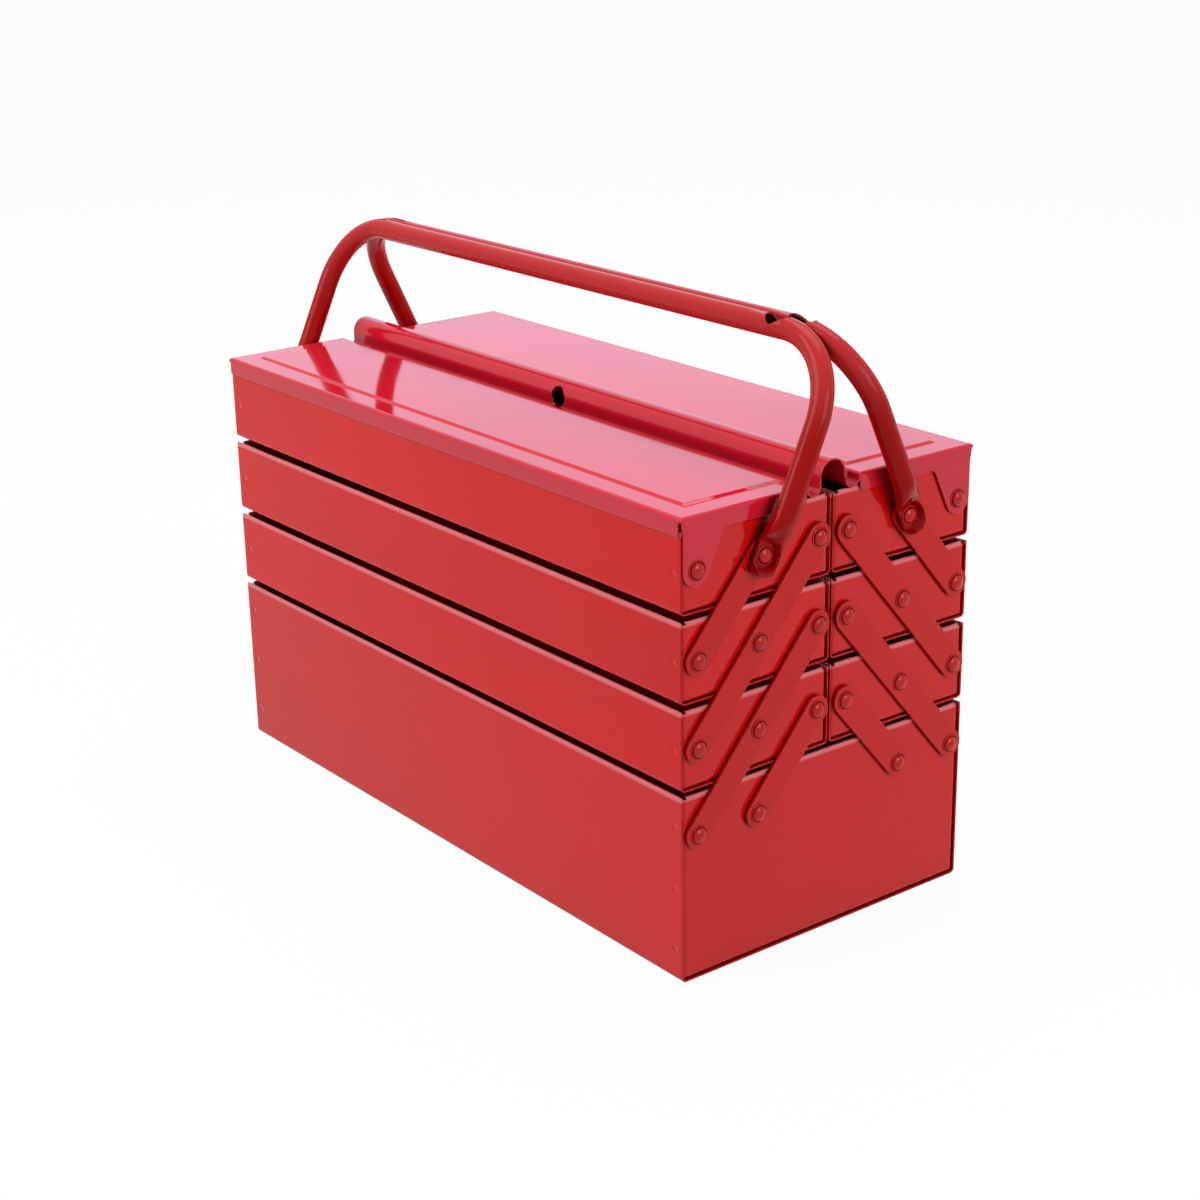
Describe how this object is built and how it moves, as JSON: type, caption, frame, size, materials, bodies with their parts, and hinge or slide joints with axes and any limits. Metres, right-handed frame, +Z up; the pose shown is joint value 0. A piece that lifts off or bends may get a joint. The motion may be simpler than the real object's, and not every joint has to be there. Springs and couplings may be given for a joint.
{
  "type": "cantilever tool box",
  "caption": "Red pressed-steel cantilever tool box: swinging trays on riveted link bars over a deep base, under paired lids with fold-down tubular handles.",
  "frame": {"origin": "middle of the base's bottom face, on the floor", "axes": "+X along the length to the right end, -Y to the front (padlock hole side), +Z up"},
  "size_m": [0.4622, 0.2002, 0.3265],
  "materials": {
    "body_enamel": "gloss enamel",
    "link_enamel": "gloss enamel",
    "rivet_enamel": "gloss enamel",
    "lid_enamel": "gloss enamel",
    "handle_enamel": "gloss enamel"
  },
  "bodies": {
    "base": {"base_pan": "body_enamel", "base_end_right": "body_enamel", "base_end_left": "body_enamel", "base_rivets": "rivet_enamel"},
    "front_lower_tray": {"front_lower_pan": "body_enamel", "front_lower_end_right": "body_enamel", "front_lower_end_left": "body_enamel", "front_lower_rivets": "rivet_enamel"},
    "front_middle_tray": {"front_middle_pan": "body_enamel", "front_middle_end_right": "body_enamel", "front_middle_end_left": "body_enamel", "front_middle_rivets": "rivet_enamel"},
    "front_top_tray": {"front_top_pan": "body_enamel", "front_top_end_right": "body_enamel", "front_top_end_left": "body_enamel", "front_top_rivets": "rivet_enamel"},
    "front_base_links": {"front_base_link_right": "link_enamel", "front_base_link_left": "link_enamel"},
    "front_lower_links": {"front_lower_link_right": "link_enamel", "front_lower_link_left": "link_enamel"},
    "front_upper_links": {"front_upper_link_right": "link_enamel", "front_upper_link_left": "link_enamel"},
    "front_top_links": {"front_top_link_right": "link_enamel", "front_top_link_left": "link_enamel"},
    "front_lid_body": {"front_lid": "lid_enamel"},
    "front_handle_body": {"front_handle": "handle_enamel"},
    "back_lower_tray": {"back_lower_pan": "body_enamel", "back_lower_end_right": "body_enamel", "back_lower_end_left": "body_enamel", "back_lower_rivets": "rivet_enamel"},
    "back_middle_tray": {"back_middle_pan": "body_enamel", "back_middle_end_right": "body_enamel", "back_middle_end_left": "body_enamel", "back_middle_rivets": "rivet_enamel"},
    "back_top_tray": {"back_top_pan": "body_enamel", "back_top_end_right": "body_enamel", "back_top_end_left": "body_enamel", "back_top_rivets": "rivet_enamel"},
    "back_base_links": {"back_base_link_right": "link_enamel", "back_base_link_left": "link_enamel"},
    "back_lower_links": {"back_lower_link_right": "link_enamel", "back_lower_link_left": "link_enamel"},
    "back_upper_links": {"back_upper_link_right": "link_enamel", "back_upper_link_left": "link_enamel"},
    "back_top_links": {"back_top_link_right": "link_enamel", "back_top_link_left": "link_enamel"},
    "back_lid_body": {"back_lid": "lid_enamel"},
    "back_handle_body": {"back_handle": "handle_enamel"}
  },
  "joints": [
    {"name": "front_swing", "type": "hinge", "parent": "base", "child": "front_lower_links", "pos_m": [0, -0.0895, 0.0815], "axis": [1, 0, 0], "range_deg": [0, 80]},
    {"name": "front_lower_tray_pivot", "type": "hinge", "parent": "front_lower_links", "child": "front_lower_tray", "pos_m": [0, -0.04975, 0.128], "axis": [-1, 0, 0], "range_deg": [0, 80]},
    {"name": "front_middle_tray_pivot", "type": "hinge", "parent": "front_lower_links", "child": "front_middle_tray", "pos_m": [0, -0.01, 0.1745], "axis": [-1, 0, 0], "range_deg": [0, 80]},
    {"name": "front_base_link_pivot", "type": "hinge", "parent": "base", "child": "front_base_links", "pos_m": [0, -0.04975, 0.0815], "axis": [1, 0, 0], "range_deg": [0, 80]},
    {"name": "front_upper_link_pivot", "type": "hinge", "parent": "front_lower_tray", "child": "front_upper_links", "pos_m": [0, -0.0895, 0.128], "axis": [1, 0, 0], "range_deg": [0, 80]},
    {"name": "front_top_tray_pivot", "type": "hinge", "parent": "front_upper_links", "child": "front_top_tray", "pos_m": [0, -0.01, 0.221], "axis": [-1, 0, 0], "range_deg": [0, 80]},
    {"name": "front_top_link_pivot", "type": "hinge", "parent": "front_middle_tray", "child": "front_top_links", "pos_m": [0, -0.0895, 0.1745], "axis": [1, 0, 0], "range_deg": [0, 80]},
    {"name": "front_lid_hinge", "type": "hinge", "parent": "front_top_tray", "child": "front_lid_body", "pos_m": [0, -0.0895, 0.221], "axis": [1, 0, 0], "range_deg": [0, 100]},
    {"name": "front_handle_hinge", "type": "hinge", "parent": "front_top_tray", "child": "front_handle_body", "pos_m": [0, -0.04975, 0.221], "axis": [1, 0, 0], "range_deg": [0, 135]},
    {"name": "back_swing", "type": "hinge", "parent": "base", "child": "back_lower_links", "pos_m": [0, 0.0895, 0.0815], "axis": [-1, 0, 0], "range_deg": [0, 80]},
    {"name": "back_lower_tray_pivot", "type": "hinge", "parent": "back_lower_links", "child": "back_lower_tray", "pos_m": [0, 0.04975, 0.128], "axis": [1, 0, 0], "range_deg": [0, 80]},
    {"name": "back_middle_tray_pivot", "type": "hinge", "parent": "back_lower_links", "child": "back_middle_tray", "pos_m": [0, 0.01, 0.1745], "axis": [1, 0, 0], "range_deg": [0, 80]},
    {"name": "back_base_link_pivot", "type": "hinge", "parent": "base", "child": "back_base_links", "pos_m": [0, 0.04975, 0.0815], "axis": [-1, 0, 0], "range_deg": [0, 80]},
    {"name": "back_upper_link_pivot", "type": "hinge", "parent": "back_lower_tray", "child": "back_upper_links", "pos_m": [0, 0.0895, 0.128], "axis": [-1, 0, 0], "range_deg": [0, 80]},
    {"name": "back_top_tray_pivot", "type": "hinge", "parent": "back_upper_links", "child": "back_top_tray", "pos_m": [0, 0.01, 0.221], "axis": [1, 0, 0], "range_deg": [0, 80]},
    {"name": "back_top_link_pivot", "type": "hinge", "parent": "back_middle_tray", "child": "back_top_links", "pos_m": [0, 0.0895, 0.1745], "axis": [-1, 0, 0], "range_deg": [0, 80]},
    {"name": "back_lid_hinge", "type": "hinge", "parent": "back_top_tray", "child": "back_lid_body", "pos_m": [0, 0.0895, 0.221], "axis": [-1, 0, 0], "range_deg": [0, 100]},
    {"name": "back_handle_hinge", "type": "hinge", "parent": "back_top_tray", "child": "back_handle_body", "pos_m": [0, 0.04975, 0.221], "axis": [-1, 0, 0], "range_deg": [0, 135]}
  ],
  "couplings": [
    {"joint": "front_lower_tray_pivot", "follows": "front_swing", "ratio": 1},
    {"joint": "front_middle_tray_pivot", "follows": "front_swing", "ratio": 1},
    {"joint": "front_base_link_pivot", "follows": "front_swing", "ratio": 1},
    {"joint": "front_upper_link_pivot", "follows": "front_swing", "ratio": 1},
    {"joint": "front_top_tray_pivot", "follows": "front_swing", "ratio": 1},
    {"joint": "front_top_link_pivot", "follows": "front_swing", "ratio": 1},
    {"joint": "back_lower_tray_pivot", "follows": "back_swing", "ratio": 1},
    {"joint": "back_middle_tray_pivot", "follows": "back_swing", "ratio": 1},
    {"joint": "back_base_link_pivot", "follows": "back_swing", "ratio": 1},
    {"joint": "back_upper_link_pivot", "follows": "back_swing", "ratio": 1},
    {"joint": "back_top_tray_pivot", "follows": "back_swing", "ratio": 1},
    {"joint": "back_top_link_pivot", "follows": "back_swing", "ratio": 1}
  ]
}
